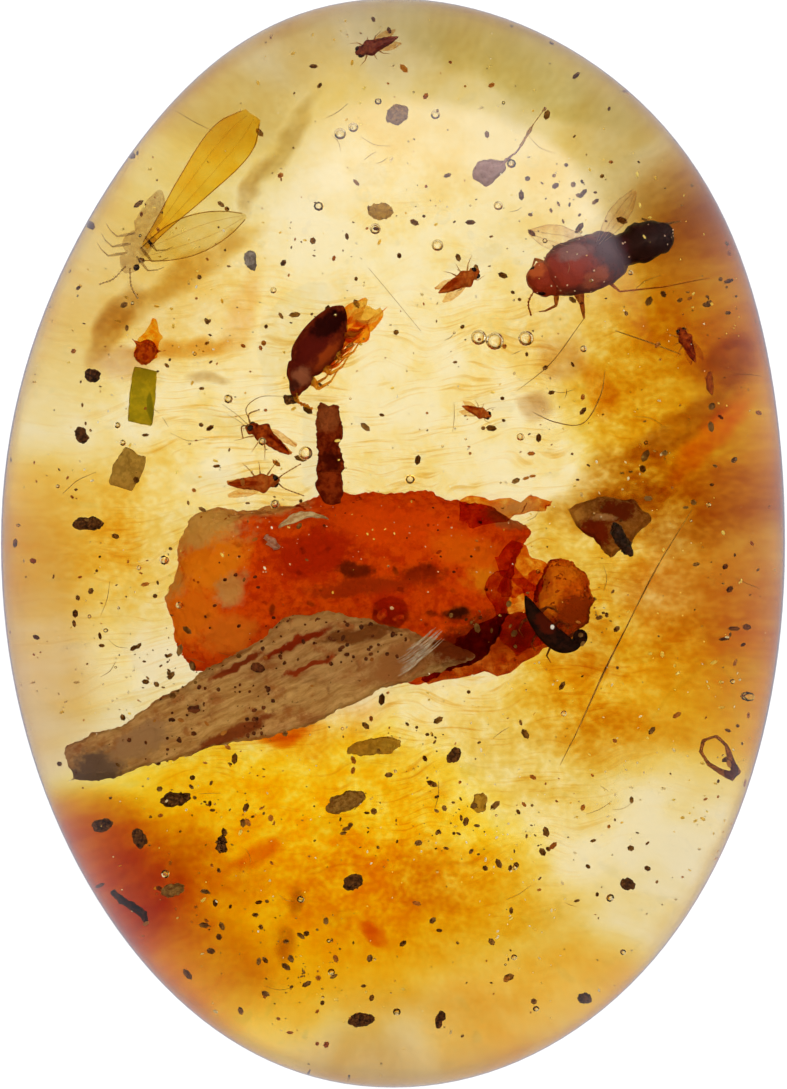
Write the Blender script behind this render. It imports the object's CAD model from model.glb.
import math
import random

import bmesh
import bpy
import numpy as np
from mathutils import Euler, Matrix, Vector, noise


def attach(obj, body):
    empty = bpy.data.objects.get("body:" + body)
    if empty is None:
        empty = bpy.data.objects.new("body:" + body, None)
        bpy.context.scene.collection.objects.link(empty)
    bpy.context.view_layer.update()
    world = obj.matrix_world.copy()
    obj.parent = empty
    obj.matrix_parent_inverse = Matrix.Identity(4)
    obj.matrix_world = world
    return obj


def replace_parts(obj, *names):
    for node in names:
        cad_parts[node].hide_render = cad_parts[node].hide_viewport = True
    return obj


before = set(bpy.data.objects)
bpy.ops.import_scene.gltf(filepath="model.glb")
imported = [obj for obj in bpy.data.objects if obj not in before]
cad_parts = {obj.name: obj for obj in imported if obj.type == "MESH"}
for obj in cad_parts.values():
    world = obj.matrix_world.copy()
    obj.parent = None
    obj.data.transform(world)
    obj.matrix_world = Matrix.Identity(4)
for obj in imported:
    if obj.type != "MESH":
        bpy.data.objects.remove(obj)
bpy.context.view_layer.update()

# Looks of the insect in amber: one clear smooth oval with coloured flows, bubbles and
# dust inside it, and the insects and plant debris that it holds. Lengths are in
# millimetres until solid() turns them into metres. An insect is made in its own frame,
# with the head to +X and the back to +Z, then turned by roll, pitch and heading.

METRES = 0.001

# The amber, as in the frame
HALF_WIDTH = 9.0
HALF_LENGTH = 12.5
HEIGHT = 8.0
GIRDLE = 2.6
BASE_SHARE = 0.81
OUTLINE_POWER = 2.04
DOME_POWER = 2.3
LEAN_TOP = 0.35
LEAN_BOTTOM = 0.10
AMBER_INDEX = 1.54

# The photograph's frame: 787 x 1089 pixels, 1086 of them for the 25 mm length
FRAME_HIGH = 1089
PIXEL = 25.0 / 1086
LENS = 150.0
SENSOR = 36.0


# ------------------------------------------------------------------ shaders

class Shader:
    """A Principled material, with short calls that add nodes and return their sockets."""

    def __init__(self, name, **plain):
        self.material = bpy.data.materials.new(name)
        self.material.use_nodes = True
        self.tree = self.material.node_tree
        self.bsdf = self.tree.nodes["Principled BSDF"]
        self.output = self.tree.nodes["Material Output"]
        for socket, value in plain.items():
            self.set(socket.replace("_", " "), value)
        coordinates = self.tree.nodes.new("ShaderNodeTexCoord").outputs["Object"]
        self.place = self.vector("SCALE", coordinates, scale=1 / METRES)

    def feed(self, socket, value):
        """Link a socket, or set a plain value."""
        if isinstance(value, bpy.types.NodeSocket):
            self.tree.links.new(value, socket)
        elif isinstance(value, tuple) and len(value) == 3 and socket.type == "RGBA":
            socket.default_value = (*value, 1.0)
        else:
            socket.default_value = value

    def set(self, name, value):
        self.feed(self.bsdf.inputs[name], value)

    def vector(self, operation, a, b=None, c=None, scale=None):
        node = self.tree.nodes.new("ShaderNodeVectorMath")
        node.operation = operation
        self.feed(node.inputs[0], a)
        if b is not None:
            self.feed(node.inputs[1], b)
        if c is not None:
            self.feed(node.inputs[2], c)
        if scale is not None:
            self.feed(node.inputs["Scale"], scale)
        return node.outputs["Value" if operation == "LENGTH" else "Vector"]

    def math(self, operation, a, b=0.0):
        node = self.tree.nodes.new("ShaderNodeMath")
        node.operation = operation
        self.feed(node.inputs[0], a)
        self.feed(node.inputs[1], b)
        return node.outputs[0]

    def ramp(self, value, low, high, bottom=0.0, top=1.0):
        """Smooth step of a value from low to high."""
        node = self.tree.nodes.new("ShaderNodeMapRange")
        node.interpolation_type = "SMOOTHSTEP"
        for socket, number in zip(node.inputs, (value, low, high, bottom, top)):
            self.feed(socket, number)
        return node.outputs[0]

    def stretch(self, size, turn=(0, 0, 0), middle=(0, 0, 0), at=None):
        """Coordinates measured from a middle, turned in degrees, in units of size."""
        node = self.tree.nodes.new("ShaderNodeMapping")
        node.vector_type = "TEXTURE"
        self.feed(node.inputs["Vector"], self.place if at is None else at)
        node.inputs["Location"].default_value = middle
        node.inputs["Rotation"].default_value = [math.radians(a) for a in turn]
        node.inputs["Scale"].default_value = size
        return node.outputs[0]

    def noise(self, size, detail=3.0, rough=0.55, at=None, output="Fac"):
        """Noise of a grain size in millimetres, from 0 to 1."""
        node = self.tree.nodes.new("ShaderNodeTexNoise")
        self.feed(node.inputs["Vector"], self.place if at is None else at)
        node.inputs["Scale"].default_value = 1 / size
        node.inputs["Detail"].default_value = detail
        node.inputs["Roughness"].default_value = rough
        return node.outputs[output]

    def mix(self, factor, a, b, blend="MIX"):
        node = self.tree.nodes.new("ShaderNodeMix")
        node.data_type = "RGBA"
        node.blend_type = blend
        colours = [s for s in node.inputs if s.type == "RGBA"]
        self.feed(node.inputs[0], factor)
        self.feed(colours[0], a)
        self.feed(colours[1], b)
        return [s for s in node.outputs if s.type == "RGBA"][0]

    def depth(self, colour, amount):
        """The colour that light has after an amount of a tint: the tint to that power."""
        node = self.tree.nodes.new("ShaderNodeGamma")
        self.feed(node.inputs["Color"], colour)
        self.feed(node.inputs["Gamma"], amount)
        return node.outputs[0]

    def height(self):
        """How high a point is, in millimetres."""
        node = self.tree.nodes.new("ShaderNodeSeparateXYZ")
        self.feed(node.inputs[0], self.place)
        return node.outputs[2]

    def stained(self, tint, amount, stain=(0.0, 0.0, 0.0)):
        """A stain with an amount of a tint added to it. A stain is the log of a colour."""
        return self.vector("MULTIPLY_ADD", tuple(math.log(c) for c in tint), amount, stain)

    def seen_through(self, stain):
        """The colour that light has after a stain."""
        split = self.tree.nodes.new("ShaderNodeSeparateXYZ")
        self.feed(split.inputs[0], stain)
        join = self.tree.nodes.new("ShaderNodeCombineColor")
        for i in range(3):
            self.feed(join.inputs[i], self.math("EXPONENT", split.outputs[i]))
        return join.outputs[0]

    def bump(self, height, distance):
        node = self.tree.nodes.new("ShaderNodeBump")
        node.inputs["Strength"].default_value = 1.0
        node.inputs["Distance"].default_value = distance * METRES
        self.feed(node.inputs["Height"], height)
        self.set("Normal", node.outputs[0])

    def warped(self, amount, size):
        """Coordinates pushed about by noise, in millimetres."""
        push = self.vector("SUBTRACT", self.noise(size, 1.0, output="Color"), (0.5, 0.5, 0.5))
        return self.vector("ADD", self.place, self.vector("SCALE", push, scale=2 * amount))

    def zone(self, middle, radii, turn=0.0, at=None, soft=0.0):
        """1 in the middle of an ellipse seen from above, 0 outside it."""
        inside = self.stretch((*radii, 1000.0), (0, 0, turn), (*middle, 0.0), at)
        return self.ramp(self.vector("LENGTH", inside), 1.0, soft)

    def blotch(self, spot, warped, rough, low, high):
        """Mask of a spot given as middle, radii and turn, with a ragged edge and clean outside."""
        zone = self.zone(*spot, warped)
        edge = self.math("MULTIPLY", rough, self.ramp(zone, 0.0, 0.15))
        return self.ramp(self.math("ADD", zone, edge), low, high)


def rough_matter(name, colours, grain, roughness=0.5, spots=(), relief=0.03, warp=0.15, glow=0.0, flecks=(),
                 ragged=1.0, soft=0.15):
    """A natural surface: two mottled colours, ragged spots as middle, radii, turn and colour,
    and flecks as grain size, threshold and colour.

    glow is how much light comes through from behind; ragged and soft shape the spots' edges.
    """
    s = Shader(name, Roughness=roughness)
    s.set("Transmission Weight", glow)
    s.set("IOR", 1.0 if glow else 1.2)
    mottle = s.ramp(s.noise(grain, 4.0, 0.6), 0.38, 0.64)
    colour = s.mix(mottle, colours[0], colours[1])
    if spots:
        warped = s.warped(warp, 3 * grain)
        rough = s.math("MULTIPLY", s.math("SUBTRACT", s.noise(0.8 * grain, 4.0, 0.65), 0.5), ragged)
        for *spot, tint in spots:
            mask = s.blotch(spot, warped, rough, max(0.02, 0.29 - soft), 0.29 + soft)
            colour = s.mix(mask, colour, tint)
    for size, threshold, tint in flecks:
        colour = s.mix(s.ramp(s.noise(size, 2.0), threshold, threshold + 0.04), colour, tint)
    s.set("Base Color", colour)
    if relief:
        s.bump(s.noise(grain / 2, 5.0, 0.65), relief)
    return s


def clear_film(name, tint, depth=(0.5, 1.0), grain=0.2, spots=(), roughness=0.0):
    """A tinted film with the index of the amber around it, thicker and thinner in places."""
    s = Shader(name, Transmission_Weight=1.0, IOR=1.0, Roughness=roughness)
    amount = s.ramp(s.noise(grain, 4.0, 0.6), 0.3, 0.7, *depth)
    colour = s.depth(tint, amount)
    for middle, radii, turn, stain in spots:
        colour = s.mix(s.zone(middle, radii, turn, s.warped(0.1, 0.4)), colour, stain)
    s.set("Base Color", colour)
    return s


# ------------------------------------------------------------------ parts

def curve(points, steps=6):
    """Points along a smooth Catmull-Rom curve through control points of any dimension."""
    p = np.array(points, float)
    p = np.vstack([2 * p[0] - p[1], p, 2 * p[-1] - p[-2]])
    found = []
    for i in range(1, len(p) - 2):
        for t in np.arange(steps) / steps:
            a = 2 * p[i]
            b = p[i + 1] - p[i - 1]
            c = 2 * p[i - 1] - 5 * p[i] + 4 * p[i + 1] - p[i + 2]
            d = 3 * p[i] - p[i - 1] - 3 * p[i + 1] + p[i + 2]
            found.append((a + b * t + c * t ** 2 + d * t ** 3) / 2)
    return np.array(found + [p[-2]])


def skin(rings):
    """A closed skin through rings of points, with a flat cap at each end."""
    count = len(rings[0])
    vertices = np.array([point for ring in rings for point in ring], float)
    faces = []
    for start in range(0, count * (len(rings) - 1), count):
        for i in range(count):
            j = (i + 1) % count
            faces.append((start + i, start + j, start + count + j, start + count + i))
    faces.append(tuple(range(count)))
    faces.append(tuple(range(len(vertices) - count, len(vertices))))
    return vertices, faces


def trunk(stations, sides=20, steps=5, shape=None):
    """A body along X from stations of x, half width, half height and z of the middle.

    shape(x, turn) scales the section, for segments, seams and lobes.
    """
    rings = []
    for x, width, height, z in curve(stations, steps):
        ring = []
        for k in range(sides):
            turn = 2 * math.pi * k / sides
            grow = shape(x, turn) if shape else 1.0
            ring.append((x, max(width, 0.01) * grow * math.cos(turn),
                         z + max(height, 0.01) * grow * math.sin(turn)))
        rings.append(ring)
    return skin(rings)


def tube(points, radii, sides=7, steps=4):
    """A round smooth tube along a bent path."""
    radii = radii if hasattr(radii, "__len__") else [radii] * len(points)
    path = curve([(*p, r) for p, r in zip(points, radii)], steps).tolist()
    rings = []
    across = Vector((0.3, 0.5, 0.8))
    for i, (*point, radius) in enumerate(path):
        ahead = Vector(path[min(i + 1, len(path) - 1)][:3])
        along = (ahead - Vector(path[max(i - 1, 0)][:3])).normalized()
        across = (across - along * across.dot(along)).normalized()
        up = along.cross(across)
        rings.append([Vector(point) + max(radius, 0.004) * (math.cos(a) * across + math.sin(a) * up)
                      for a in np.linspace(0, 2 * math.pi, sides, endpoint=False).tolist()])
    return skin(rings)


def orb(middle, radii, sides=12):
    """A ball or an ellipsoid."""
    rings = []
    for i in range(sides // 2 + 1):
        polar = math.pi * (i + 0.12) / (sides / 2 + 0.24)
        rings.append([(math.sin(polar) * math.cos(a), math.sin(polar) * math.sin(a), math.cos(polar))
                      for a in np.arange(sides) * 2 * math.pi / sides])
    vertices, faces = skin(rings)
    return vertices * np.array(radii) + np.array(middle), faces


def leaf(root, tip, width, normal, profile, thickness=0.03, camber=0.1, ripple=0.03):
    """A thin rippled blade from root to tip: half widths along it, square to its normal."""
    root, tip, normal = Vector(root), Vector(tip), Vector(normal).normalized()
    along = tip - root
    across = along.cross(normal).normalized()
    places = np.linspace(0, 1, 18)
    halves = np.interp(places, np.linspace(0, 1, len(profile)), profile) * width
    rows = []
    for u, half in zip(places.tolist(), halves.tolist()):
        row = []
        for v in np.linspace(-1, 1, 9).tolist():
            lift = camber * (1 - v * v) * half + ripple * math.sin(9 * u + 5 * v)
            row.append(root + along * u + across * half * v + normal * lift)
        rows.append(row)
    half = normal * thickness / 2
    return skin([[p + half for p in row] + [p - half for p in reversed(row)] for row in rows])


def veins(root, tip, width, normal, profile, radius=0.012, camber=0.1, ripple=0.03, lines=5):
    """Raised veins on the blade that leaf() makes from the same numbers."""
    root, tip, normal = Vector(root), Vector(tip), Vector(normal).normalized()
    along = tip - root
    across = along.cross(normal).normalized()
    found = []
    for v in np.linspace(-0.98, 0.98, lines).tolist():
        path = []
        for u in np.linspace(0.02, 0.98, 9).tolist():
            half = float(np.interp(u, np.linspace(0, 1, len(profile)), profile)) * width
            lift = camber * (1 - v * v) * half + ripple * math.sin(9 * u + 5 * v)
            path.append(root + along * u + across * half * v + normal * (lift + 0.01))
        found.append(tube(path, radius, 5, 2))
    return found


def mirrored(parts):
    return [(v * np.array((1, -1, 1)), faces) for v, faces in parts]


def both_sides(parts):
    return parts + mirrored(parts)


def placed(parts, at, turn=(0, 0, 0)):
    """Parts turned by roll, pitch and heading in degrees, then moved."""
    matrix = np.array(Euler([math.radians(a) for a in turn]).to_matrix())
    return [(v @ matrix.T + np.array(at), faces) for v, faces in parts]


def crumpled(part, amount, grain):
    """A part whose points are moved by noise."""
    vertices, faces = part
    return np.array([v + np.array(noise.noise_vector(Vector(v) / grain)) * amount
                     for v in vertices]), faces


def sprinkled(part, rng, zones, sizes):
    """Grains on the upper side of a part, from zones as x, y, radius and count."""
    points = part[0]
    grains = []
    for x, y, radius, count in zones:
        near = points[np.hypot(points[:, 0] - x, points[:, 1] - y) < radius]
        top = near[near[:, 2] > np.percentile(near[:, 2], 55)]
        for _ in range(count):
            size = rng.uniform(*sizes)
            grain = orb((0, 0, 0), (size * rng.uniform(0.8, 1.6), size, 0.6 * size), 8)
            grain = crumpled(grain, 0.35 * size, size)
            grains += placed([grain], top[rng.randrange(len(top))], (0, 0, rng.uniform(0, 180)))
    return grains


def leg(hip, knee, ankle, foot, thick):
    """A jointed leg: thick thigh, thin shin and a thinner foot with a claw."""
    hip, knee, ankle, foot = (np.array(p, float) for p in (hip, knee, ankle, foot))
    claw = foot + (foot - ankle) * 0.15 + np.array((0.0, 0.0, -0.3 * thick))
    return [
        tube([hip, (hip + knee) / 2, knee], [0.6 * thick, thick, 0.5 * thick]),
        tube([knee, (knee + ankle) / 2, ankle], [0.5 * thick, 0.45 * thick, 0.35 * thick]),
        tube([ankle, (ankle + foot) / 2, foot, claw], [0.3 * thick, 0.26 * thick, 0.2 * thick, 0.08 * thick]),
    ]


def beads(points, radius, count):
    """A feeler: beads along a bent path."""
    path = curve(points, 12)
    picks = np.linspace(0, len(path) - 1, count).astype(int)
    found = [tube(points, 0.5 * radius, 5, 3)]
    return found + [orb(path[i], (radius, radius, radius), 6) for i in picks]


# ------------------------------------------------------------------ pieces

def solid(name, groups, sharp=45):
    """A piece on the root body, in metres, from pairs of a shader and its parts."""
    vertices, faces, kinds = [], [], []
    for kind, (shader, parts) in enumerate(groups):
        for points, own in parts:
            faces += [tuple(i + len(vertices) for i in face) for face in own]
            kinds += [kind] * len(own)
            vertices += [tuple(p) for p in np.array(points) * METRES]
    mesh = bpy.data.meshes.new(name)
    mesh.from_pydata(vertices, [], faces)
    for shader, _ in groups:
        mesh.materials.append(shader.material)
    mesh.polygons.foreach_set("material_index", kinds)
    bm = bmesh.new()
    bm.from_mesh(mesh)
    bmesh.ops.recalc_face_normals(bm, faces=bm.faces)
    bm.to_mesh(mesh)
    bm.free()
    mesh.shade_smooth()
    mesh.set_sharp_from_angle(angle=math.radians(sharp))
    piece = bpy.data.objects.new(name, mesh)
    bpy.context.scene.collection.objects.link(piece)
    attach(piece, "root")
    return piece


def weathered(node, voxel, amount, grain, fine=0.0):
    """The CAD node's shape as a part, remeshed finely and roughened along its normals."""
    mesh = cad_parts[node].data.copy()
    mesh.transform(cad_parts[node].matrix_world)
    mesh.transform(Euler().to_matrix().to_4x4() * (1 / METRES))
    shape = bpy.data.objects.new("shape", mesh)
    bpy.context.scene.collection.objects.link(shape)
    remesh = shape.modifiers.new("remesh", "REMESH")
    remesh.mode = "VOXEL"
    remesh.voxel_size = voxel
    soften = shape.modifiers.new("soften", "SMOOTH")
    soften.iterations = 6
    whole = shape.evaluated_get(bpy.context.evaluated_depsgraph_get()).to_mesh()
    points = []
    for v in whole.vertices:
        push = amount * (noise.fractal(v.co / grain, 0.8, 2.2, 4) + fine * noise.noise(v.co / (0.15 * grain)))
        points.append(tuple(v.co + v.normal * push))
    faces = [tuple(face.vertices) for face in whole.polygons]
    bpy.data.objects.remove(shape)
    return np.array(points), faces


# ------------------------------------------------------------------ amber

def outline_ring(share, height, count=160):
    """A ring of the egg outline at a share of its size, whose round end leans to +X."""
    ring = []
    for i in range(count):
        c = math.cos(2 * math.pi * i / count)
        s = math.sin(2 * math.pi * i / count)
        x = HALF_WIDTH * share * math.copysign(abs(c) ** (2 / OUTLINE_POWER), c)
        y = HALF_LENGTH * share * math.copysign(abs(s) ** (2 / OUTLINE_POWER), s)
        lean = LEAN_TOP if y > 0 else LEAN_BOTTOM
        ring.append((x + lean * math.sin(math.pi * (y / HALF_LENGTH) ** 2), y, height))
    return ring


def share_at(height):
    """The share of the outline that the amber reaches at a height."""
    if height >= GIRDLE:
        return max(0.0, 1 - ((height - GIRDLE) / (HEIGHT - GIRDLE)) ** DOME_POWER) ** (1 / DOME_POWER)
    return BASE_SHARE + (1 - BASE_SHARE) * math.sqrt(1 - (1 - height / GIRDLE) ** 2)


def amber_shader():
    """Clear polished amber with fine wear, which takes the blue out of the light in it."""
    s = Shader("clear amber", Transmission_Weight=1.0, IOR=AMBER_INDEX, Roughness=0.0)
    s.set("Base Color", (1.0, 1.0, 1.0))
    absorb = s.tree.nodes.new("ShaderNodeVolumeAbsorption")
    absorb.inputs["Color"].default_value = (0.90, 0.76, 0.27, 1.0)
    absorb.inputs["Density"].default_value = 118.0
    s.tree.links.new(absorb.outputs[0], s.output.inputs["Volume"])
    s.bump(s.noise(1.8, 1.0), 0.012)
    return s


def amber_body():
    rings = []
    for i in range(13):
        angle = math.pi / 2 * i / 12
        share = BASE_SHARE + (1 - BASE_SHARE) * math.sin(angle)
        rings.append(outline_ring(share, GIRDLE * (1 - math.cos(angle))))
    for i in range(1, 40):
        angle = math.radians(89.4) * i / 39
        rise = math.sin(angle) ** (2 / DOME_POWER)
        rings.append(outline_ring(math.cos(angle) ** (2 / DOME_POWER), GIRDLE + (HEIGHT - GIRDLE) * rise))
    body = solid("amber_body", [(amber_shader(), [skin(rings)])], sharp=60)
    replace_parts(body, "amber_upper", "amber_lower")


# Flows: zones as middle, radii, turn and the colour that light has behind them
DEEP_ZONES = (
    ((-5.2, -6.6), (2.8, 1.7), -30, (0.60, 0.20, 0.004)),
    ((-3.6, -8.4), (2.4, 1.2), -28, (0.78, 0.51, 0.18)),
    ((-1.4, -3.9), (1.9, 0.8), 10, (0.93, 0.76, 0.56)),
    ((0.3, -11.3), (5.4, 1.5), 0, (0.76, 0.64, 0.42)),
    ((-0.6, -9.2), (3.4, 1.1), 4, (0.97, 0.84, 0.74)),
    ((2.8, -9.2), (2.8, 1.2), 18, (0.97, 0.72, 0.20)),
    ((-2.2, -7.0), (5.6, 3.8), 4, (0.96, 0.57, 0.004)),
    ((0.3, -7.5), (4.2, 1.7), -6, (0.88, 0.62, 0.10)),
    ((6.8, -0.4), (2.4, 4.0), 0, (0.76, 0.44, 0.08)),
    ((5.6, 0.7), (1.7, 1.0), 20, (0.70, 0.42, 0.14)),
    ((4.4, 1.2), (1.7, 0.9), 30, (0.66, 0.40, 0.10)),
    ((5.4, -1.1), (1.6, 1.3), 0, (0.88, 0.66, 0.40)),
    ((4.6, -4.0), (2.4, 0.9), 0, (0.94, 0.84, 0.76)),
    ((4.9, -3.0), (3.2, 2.2), -8, (0.86, 0.52, 0.03)),
    ((5.4, 2.9), (2.4, 3.0), 20, (0.80, 0.46, 0.02)),
    ((5.9, 5.6), (2.3, 3.0), 10, (0.70, 0.36, 0.03)),
    ((4.0, -0.2), (1.5, 1.8), 0, (0.88, 0.68, 0.18)),
    ((-6.0, 0.4), (2.2, 2.2), 0, (0.93, 0.70, 0.20)),
    ((-7.5, -1.2), (1.3, 5.0), 0, (0.74, 0.46, 0.26)),
    ((-4.6, 0.0), (2.0, 2.6), 0, (0.96, 0.86, 0.50)),
    ((1.2, 10.4), (6.4, 1.5), -12, (0.82, 0.80, 0.74)),
    ((2.4, 9.3), (4.0, 0.40), -22, (0.84, 0.82, 0.60)),
    ((1.4, 8.5), (4.0, 2.2), -10, (0.97, 0.92, 0.70)),
    ((5.1, 8.4), (2.2, 3.0), 30, (0.77, 0.70, 0.50)),
    ((5.7, 6.9), (2.0, 1.8), 0, (0.66, 0.42, 0.20)),
    ((-2.8, 9.6), (2.4, 1.6), 30, (0.84, 0.78, 0.62)),
    ((-4.4, 8.0), (2.6, 3.2), -35, (0.96, 0.88, 0.52)),
    ((-6.0, 5.4), (1.9, 3.0), -20, (0.96, 0.90, 0.72)),
    ((3.0, -4.4), (2.4, 2.0), 0, (0.90, 0.78, 0.36)),
    ((3.9, -2.3), (1.0, 0.8), 0, (0.88, 0.78, 0.90)),
    ((0.8, -7.0), (1.0, 1.0), 0, (0.90, 0.76, 1.0)),
    ((-4.3, 5.0), (2.9, 2.0), 20, (0.97, 0.88, 0.62)),
    ((4.2, 4.4), (2.4, 2.2), 0, (0.93, 0.80, 0.44)),
)
WALL_ZONES = (
    ((-8.2, -2.2), (2.6, 4.6), 0, (0.70, 0.48, 0.30)),
    ((0.6, -11.4), (4.6, 2.2), 0, (0.80, 0.66, 0.42)),
    ((-1.0, 12.0), (5.0, 2.4), 0, (0.86, 0.80, 0.78)),
)
# Veils: name, middle, radii, height, swell, then zones as above
VEILS = (
    ("right_veil", (6.1, 1.6), (2.6, 4.6), 2.6, 0.3, (
        ((6.25, 2.3), (1.6, 0.42), 53, (0.96, 0.48, 0.008)),
        ((5.9, 2.7), (1.9, 0.42), 40, (0.60, 0.36, 0.18)),
        ((6.6, 3.9), (0.9, 0.6), 40, (0.60, 0.36, 0.18)),
        ((6.9, -0.9), (1.0, 2.6), 0, (0.88, 0.66, 0.34)),
        ((4.3, 0.8), (1.5, 0.5), 25, (0.62, 0.36, 0.08)),
    )),
    ("gold_veil", (-4.6, 5.2), (3.0, 2.6), 3.9, 0.4, (
        ((-4.2, 5.8), (2.6, 0.40), 34, (0.76, 0.56, 0.24)),
        ((-5.8, 4.7), (1.2, 0.42), 58, (0.66, 0.46, 0.24)),
        ((-4.3, 4.15), (1.5, 0.30), 6, (0.82, 0.52, 0.16)),
        ((-3.1, 5.0), (0.4, 1.2), -20, (0.95, 0.80, 0.64)),
        ((-3.8, 3.5), (0.55, 0.2), 0, (0.66, 0.52, 0.34)),
        ((-5.6, 3.9), (0.9, 0.5), 0, (0.85, 0.72, 0.72)),
    )),
    ("upper_veil", (-2.4, 8.7), (1.9, 2.3), 4.4, 0.3, (
        ((-2.2, 8.7), (1.7, 0.34), 60, (0.74, 0.64, 0.42)),
        ((-2.9, 7.7), (0.9, 0.25), 72, (0.74, 0.62, 0.44)),
    )),
    ("cloud_veil", (3.3, 3.6), (1.7, 1.8), 3.4, 0.3, (
        ((2.95, 2.95), (0.40, 0.40), 0, (0.66, 0.48, 0.32)),
        ((3.5, 4.0), (0.7, 0.6), 10, (0.78, 0.58, 0.36)),
        ((4.2, 3.3), (0.4, 1.0), 20, (0.86, 0.56, 0.20)),
    )),
    ("lower_veil", (-2.2, -6.6), (4.0, 3.2), 2.6, 0.2, (
        ((-5.2, -7.2), (1.6, 1.1), -30, (0.80, 0.44, 0.08)),
        ((-3.1, -7.2), (0.9, 0.7), 0, (0.86, 0.64, 0.6)),
        ((-2.24, -8.52), (0.30, 0.50), 5, (0.62, 0.36, 0.22)),
        ((-1.95, -7.63), (0.26, 0.36), 0, (0.66, 0.54, 0.40)),
        ((-2.25, -3.98), (1.10, 0.36), 15, (0.78, 0.24, 0.02)),
        ((-0.38, -8.34), (0.50, 0.20), -40, (0.80, 0.28, 0.03)),
        ((-2.70, -6.60), (0.90, 0.35), 30, (0.84, 0.42, 0.05)),
    )),
)


def zone_stain(s, zones, warped):
    """The stain of zones given as middle, radii, turn and tint, summed where they overlap."""
    stain = (0.0, 0.0, 0.0)
    for *zone, tint in zones:
        stain = s.stained(tint, s.zone(*zone, warped, 0.35), stain)
    return stain


def sheet(name, rings, shader):
    """A tinted boundary between two flows: a smooth open sheet, capped at its middle."""
    vertices, faces = skin(rings)
    return solid(name, [(shader, [(vertices, faces[:-1])])])


def deep_flow():
    """A bowl of coloured flow that follows the base and the side, and fades out above."""
    s = Shader("deep flow", Transmission_Weight=1.0, IOR=1.0, Roughness=0.0)
    warped = s.warped(0.7, 1.8)
    split = s.tree.nodes.new("ShaderNodeSeparateXYZ")
    s.feed(split.inputs[0], warped)
    share = s.vector("LENGTH", s.stretch((HALF_WIDTH, HALF_LENGTH, 1000.0), at=warped))
    fine = s.ramp(s.noise(0.50, 2.0, 0.65), 0.30, 0.70, -0.38, 0.34)
    sand = s.ramp(s.noise(0.11, 0.0), 0.30, 0.70, -0.15, 0.15)
    grain = s.math("MULTIPLY", s.math("ADD", fine, sand), s.ramp(share, 0.76, 0.50, 0.3, 1.0))
    strength = s.math("ADD", grain, 1.0)
    low = s.ramp(split.outputs[2], 3.4, 2.2)
    broad = s.ramp(s.noise(1.4, 2.0, 0.6), 0.36, 0.70, 0.15, 1.0)
    wall = s.math("MULTIPLY", s.ramp(split.outputs[2], 1.0, 3.2), s.ramp(split.outputs[2], 4.9, 3.4))
    stain = s.vector("SCALE", zone_stain(s, DEEP_ZONES, warped), scale=low)
    stain = s.stained((0.97, 0.86, 0.50), broad, stain)
    stain = s.vector("SCALE", s.stained((0.82, 0.70, 0.56), wall, stain), scale=strength)
    lines = s.ramp(s.noise(0.9, 2.0, at=s.stretch((1.0, 0.08, 1.0), (0, 0, 6), at=warped)), 0.50, 0.76)
    for value, *steps in ((split.outputs[1], 6.5, 3.5, 0.2, 1.0), (share, 0.75, 0.45, 0.1, 1.0),
                          (broad, 0.2, 0.8, 0.35, 1.3)):
        lines = s.math("MULTIPLY", lines, s.ramp(value, *steps))
    stain = s.stained((0.90, 0.72, 0.40), lines, stain)
    edge = s.math("MULTIPLY", s.ramp(share, 0.45, 0.95), low)
    stain = s.stained((0.84, 0.80, 0.74), edge, stain)
    fade = s.ramp(split.outputs[2], 5.0, 3.2, 0.0, 2.0)
    stain = s.vector("SCALE", stain, scale=fade)
    upper = s.math("MULTIPLY", s.ramp(split.outputs[2], 3.0, 4.2), s.ramp(s.height(), 6.8, 5.8))
    stain = s.vector("MULTIPLY_ADD", zone_stain(s, WALL_ZONES, warped), upper, stain)
    s.set("Base Color", s.seen_through(stain))

    path = [(share, 0.45) for share in np.linspace(0.02, 0.76, 16)]
    path += [(share_at(h) * 0.972, h) for h in (0.55, 0.8, 1.1, 1.5, 2.0, 2.6, 3.2, 3.8, 4.4, 5.0, 5.5, 6.0, 6.4, 6.8)]
    rings = []
    for share, height in path:
        ring = []
        for x, y, _ in outline_ring(share, 0, 120):
            lift = 0.3 * noise.noise(Vector((x, y, 4.0)) / 4.0) * max(0.0, 1 - share / 0.76)
            ring.append((x, y, height + lift))
        rings.append(ring)
    return sheet("deep_flow", rings, s)


def veil(name, middle, radii, height, swell, zones):
    """A thin rippled lens of coloured flow at a height in the amber."""
    s = Shader(name.replace("_", " "), Transmission_Weight=1.0, IOR=1.0, Roughness=0.0)
    strength = s.ramp(s.noise(0.5, 2.0, 0.65), 0.28, 0.66, 1.2, 2.3)
    strength = s.math("MULTIPLY", strength, s.zone(middle, radii, 0, None, 0.75))
    stain = zone_stain(s, zones, s.warped(0.28, 0.9))
    s.set("Base Color", s.seen_through(s.vector("SCALE", stain, scale=strength)))
    rings = []
    for share in np.linspace(0.01, 1.0, 16):
        ring = []
        for turn in np.linspace(0, 2 * math.pi, 64, endpoint=False):
            x = middle[0] + radii[0] * share * math.cos(turn)
            y = middle[1] + radii[1] * share * math.sin(turn)
            ring.append((x, y, height + swell * noise.noise(Vector((x, y, 9.0)) / 2.5)))
        rings.append(ring)
    return sheet(name, rings, s)


# ------------------------------------------------------------------ insects

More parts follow.
